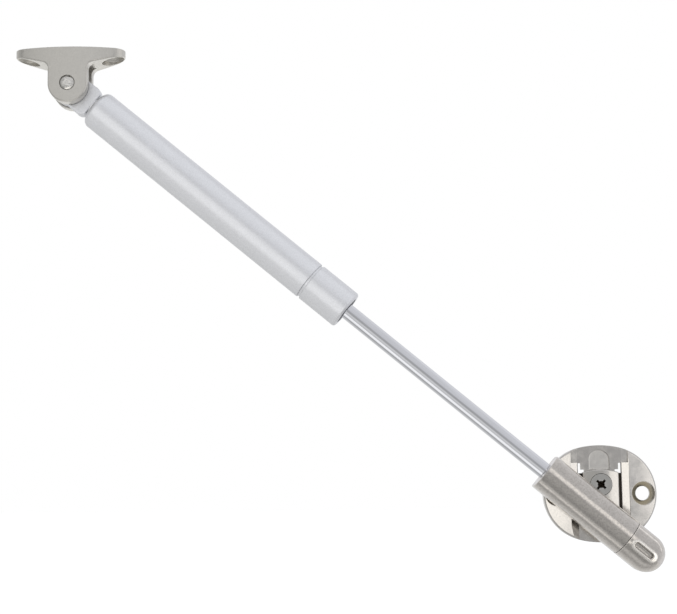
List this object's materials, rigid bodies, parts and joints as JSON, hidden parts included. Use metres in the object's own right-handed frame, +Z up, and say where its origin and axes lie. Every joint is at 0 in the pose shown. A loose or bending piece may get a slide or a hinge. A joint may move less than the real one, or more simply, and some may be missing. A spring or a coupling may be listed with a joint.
{
  "type": "gas strut stay",
  "caption": "Gas strut stay for a cabinet flap: oval base plate with height slide, clip-on connector with release cap, sliding rod in a gas cylinder, and a two-eared door bracket.",
  "frame": {"origin": "centre of the base plate's mounting face, which lies flat on the cabinet side", "axes": "+Y into the cabinet side, square to the mounting face; +Z up along the height slide; +X to the right, so the strut rises to the upper left at -X +Z"},
  "size_m": [0.2384, 0.0215, 0.1963],
  "materials": {
    "base_nickel": "satin nickel plate on die-cast zinc",
    "slide_nickel": "satin nickel plate on die-cast zinc",
    "screw_steel": "nickel-plated steel",
    "stud_steel": "turned steel",
    "barrel_nickel": "satin nickel plate on die-cast zinc",
    "bracket_nickel": "fine-tumbled nickel plate on die-cast zinc",
    "spring_steel": "spring steel",
    "rod_chrome": "hard chrome, polished",
    "silver_paint": "satin silver metallic paint",
    "plain_steel": "turned steel",
    "aluminium": "turned aluminium",
    "acetal": "black acetal",
    "nitrile": "black nitrile rubber"
  },
  "bodies": {
    "base": {"base_plate": "base_nickel"},
    "slide": {"height_slide": "slide_nickel", "pivot_stud": "stud_steel", "clamp_nut": "plain_steel"},
    "screw": {"clamp_screw": "screw_steel"},
    "rod": {"connector_barrel": "barrel_nickel", "socket_bush": "acetal", "guide_pin": "plain_steel", "latch_spring": "spring_steel", "piston_rod": "rod_chrome", "stop_spacer": "plain_steel", "piston": "aluminium", "piston_ring": "acetal", "piston_washer": "plain_steel", "piston_nut": "plain_steel"},
    "cap": {"release_cap": "barrel_nickel", "latch_plate": "spring_steel"},
    "cylinder": {"cylinder_tube": "silver_paint", "front_sleeve": "silver_paint", "guide_bush": "acetal", "rod_seal": "nitrile", "seal_backup_ring": "plain_steel", "retaining_ring": "spring_steel", "end_plug": "aluminium", "plug_seal": "nitrile", "eye_fitting": "silver_paint"},
    "bracket": {"door_bracket": "bracket_nickel", "pivot_rivet": "bracket_nickel"}
  },
  "joints": [
    {"name": "height_adjust", "type": "slide", "parent": "base", "child": "slide", "axis": [0, 0, 1], "range_m": [-0.003, 0.003]},
    {"name": "clamp_screw_turn", "type": "hinge", "parent": "slide", "child": "screw", "pos_m": [0, -0.004, 0.0034], "axis": [0, -1, 0], "range_deg": [0, 360]},
    {"name": "lower_pivot", "type": "hinge", "parent": "slide", "child": "rod", "pos_m": [0, -0.0135, -0.0095], "axis": [0, 1, 0], "continuous": true},
    {"name": "cap_release", "type": "slide", "parent": "rod", "child": "cap", "axis": [0.7683, 0, -0.6401], "range_m": [0, 0.0035], "stiffness_N_per_m": 1000, "springref_m": -0.006, "deforming": ["latch_spring"]},
    {"name": "strut_stroke", "type": "slide", "parent": "rod", "child": "cylinder", "axis": [0.7683, 0, -0.6401], "range_m": [0, 0.09], "stiffness_N_per_m": 250, "springref_m": -0.32},
    {"name": "upper_pivot", "type": "hinge", "parent": "cylinder", "child": "bracket", "pos_m": [-0.19668, -0.0135, 0.15437], "axis": [0, 1, 0], "range_deg": [-138, 38]}
  ]
}
